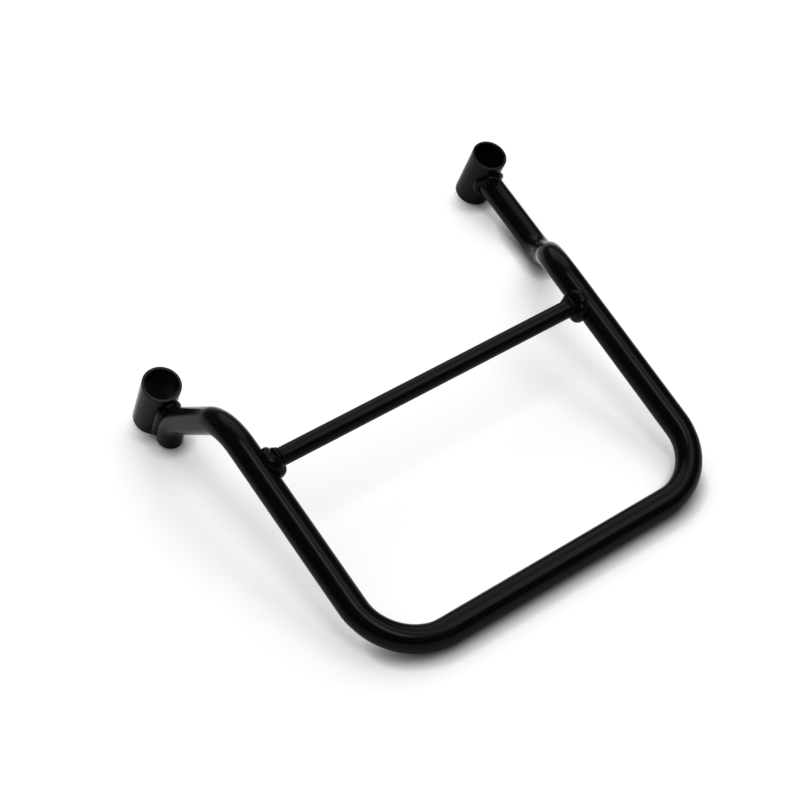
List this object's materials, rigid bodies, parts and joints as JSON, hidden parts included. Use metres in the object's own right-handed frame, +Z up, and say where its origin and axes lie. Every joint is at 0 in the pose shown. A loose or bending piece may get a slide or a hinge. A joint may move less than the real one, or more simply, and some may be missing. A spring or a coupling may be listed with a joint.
{
  "type": "pannier frame",
  "caption": "Bent tube pannier frame for a motorbike: an open loop with a welded crossbar, its two arms stepped down to bored mounting bosses.",
  "frame": {"origin": "middle of the part's outline seen from above, on the ground the part lies on", "axes": "+X from the bottom bar towards the bosses, +Y towards the left arm, +Z up from the ground"},
  "size_m": [0.3608, 0.3497, 0.0806],
  "materials": {
    "black_coat": "satin",
    "weld_coat": "satin"
  },
  "bodies": {
    "root": {"frame_tube": "black_coat", "crossbar": "black_coat", "boss_left": "black_coat", "boss_right": "black_coat", "weld_cross_left": "weld_coat", "weld_cross_right": "weld_coat", "weld_boss_left": "weld_coat", "weld_boss_right": "weld_coat"}
  },
  "joints": []
}
